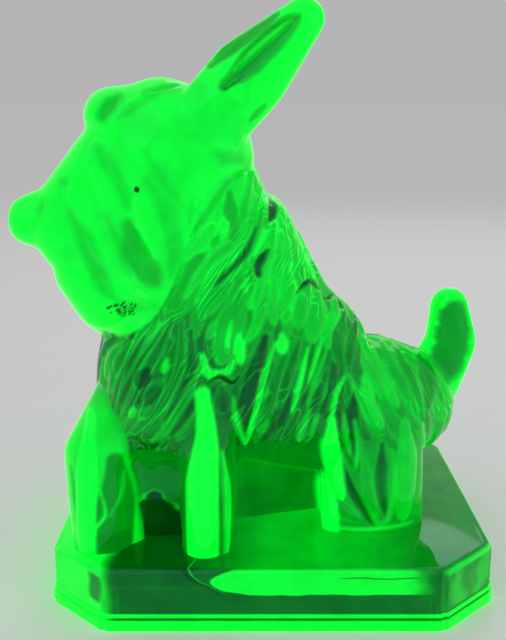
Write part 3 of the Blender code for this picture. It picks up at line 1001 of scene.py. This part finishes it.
def glass_material():
    material = bpy.data.materials.new("uranium_glass")
    nodes = Nodes(material)
    shader = nodes.shader
    shader.inputs["Base Color"].default_value = GLASS_COLOUR
    shader.inputs["Transmission Weight"].default_value = 0.85
    shader.inputs["Roughness"].default_value = 0.05
    shader.inputs["IOR"].default_value = 1.5
    shader.inputs["Specular IOR Level"].default_value = 0.3
    # Painted reflection: the blue tint gives the white lamps' reflections the blue-violet colour of a UV
    # lamp
    shader.inputs["Specular Tint"].default_value = (0.3, 0.5, 1.0, 1)
    vector, (x, y, z) = nodes.place()
    figure = nodes.attribute("glow")
    clouds = nodes.math("MULTIPLY_ADD", nodes.noise(vector, 0.12, 4.0), 0.24, -0.12)
    zone = nodes.attribute("zone")
    figure = nodes.math("ADD", figure, hair_glow_lines(nodes, vector, x))
    glow = nodes.blend(figure, plinth_glow(nodes, vector, x, y, z), nodes.math("GREATER_THAN", zone, 0.5))
    glow = nodes.blend(glow, INNER_GLOW, nodes.math("GREATER_THAN", zone, 1.5))
    glow = nodes.math("ADD", glow, clouds, clamp=True)
    glow = nodes.blend(0.0, glow, nodes.rise(nodes.attribute("eye"), *EYE_EDGE))
    # Painted light: the glow drives the emission, so the glass shows its painted glow and painted shade
    # under any lamp
    nodes.link(nodes.ramp(glow, GLOW_COLOURS), shader.inputs["Emission Color"])
    shader.inputs["Emission Strength"].default_value = 1.0
    absorb = nodes.tree.nodes.new("ShaderNodeVolumeAbsorption")
    absorb.inputs["Color"].default_value = DEEP_GLASS_COLOUR
    absorb.inputs["Density"].default_value = DEEP_GLASS_DENSITY
    nodes.link(absorb.outputs["Volume"], nodes.output.inputs["Volume"])
    return material


def plain_material(name, colour, roughness):
    material = bpy.data.materials.new(name)
    nodes = Nodes(material)
    nodes.shader.inputs["Base Color"].default_value = (*colour, 1)
    nodes.shader.inputs["Roughness"].default_value = roughness
    return material


# ---------------------------------------------------------------- studio

CAMERA_PLACE = (-5.7, -286.6, 140.1)
CAMERA_PITCH = 76.8
CAMERA_LENS = 53.66
LAMPS = (  # name, place in figure millimetres, size in metres, power in watts
    ("key", (-450, -450, 700), 1.0, 0.9),
    ("fill", (600, -300, 450), 0.9, 0.5),
    ("rim", (200, 650, 600), 0.5, 0.6),
)
LAMP_AIM = (0, 0, 70)
DAYLIGHT_STRENGTH = 0.1
FLOOR_SIZE = 40.0
FLOOR_DROP = 0.00005  # metres, so that the floor and the underside don't coincide
FLOOR_COLOUR = (0.95, 0.95, 0.94)
WORLD_COLOUR = (0.46, 0.46, 0.47)


def add_camera():
    data = bpy.data.cameras.new("camera")
    data.lens = CAMERA_LENS
    data.sensor_width = 36
    data.clip_start = 0.01
    camera = bpy.data.objects.new("camera", data)
    camera.location = to_world(CAMERA_PLACE)
    camera.rotation_euler = (math.radians(CAMERA_PITCH), 0, 0)
    bpy.context.scene.collection.objects.link(camera)
    bpy.context.scene.camera = camera


def add_lamp(name, place, size, power):
    data = bpy.data.lights.new(name, "AREA")
    data.shape = "DISK"
    data.size = size
    data.energy = power
    lamp = bpy.data.objects.new(name, data)
    lamp.location = to_world(place)
    aim = to_world(LAMP_AIM) - lamp.location
    lamp.rotation_euler = aim.to_track_quat("-Z", "Y").to_euler()
    bpy.context.scene.collection.objects.link(lamp)


def add_daylight():
    daylight = bpy.data.lights.new("daylight", "SUN")
    daylight.energy = DAYLIGHT_STRENGTH
    daylight.angle = math.radians(90)
    bpy.context.scene.collection.objects.link(bpy.data.objects.new("daylight", daylight))


def add_studio():
    add_camera()
    for name, place, size, power in LAMPS:
        add_lamp(name, place, size, power)
    add_daylight()
    world = bpy.data.worlds.new("studio")
    world.use_nodes = True
    background = world.node_tree.nodes["Background"]
    background.inputs["Color"].default_value = (*WORLD_COLOUR, 1)
    background.inputs["Strength"].default_value = 1.0
    bpy.context.scene.world = world
    bpy.context.scene.view_settings.view_transform = "Standard"
    bm = bmesh.new()
    bmesh.ops.create_grid(bm, x_segments=1, y_segments=1, size=FLOOR_SIZE / 2)
    floor = new_object("floor", bm)
    floor.location = (ORIGIN.x, ORIGIN.y, ORIGIN.z - FLOOR_DROP)
    floor.data.materials.append(plain_material("floor", FLOOR_COLOUR, 0.6))


def main():
    add_studio()
    glass = make_body()
    skin = sculpt(glass)
    source = [vertex.co.copy() for vertex in glass.data.vertices]
    join_glass(glass)
    carry(source, {"glow": skin.glow, "eye": skin.eye, "fur": skin.fur}, glass.data)
    keep_zones(glass.data)
    glass.data.materials.append(glass_material())
    glass.data.shade_smooth()
    glass.data.set_sharp_from_angle(angle=math.radians(40))
    glass.name = "terrier_glass"
    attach(glass, "root")
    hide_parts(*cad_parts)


main()
bpy.context.view_layer.update()
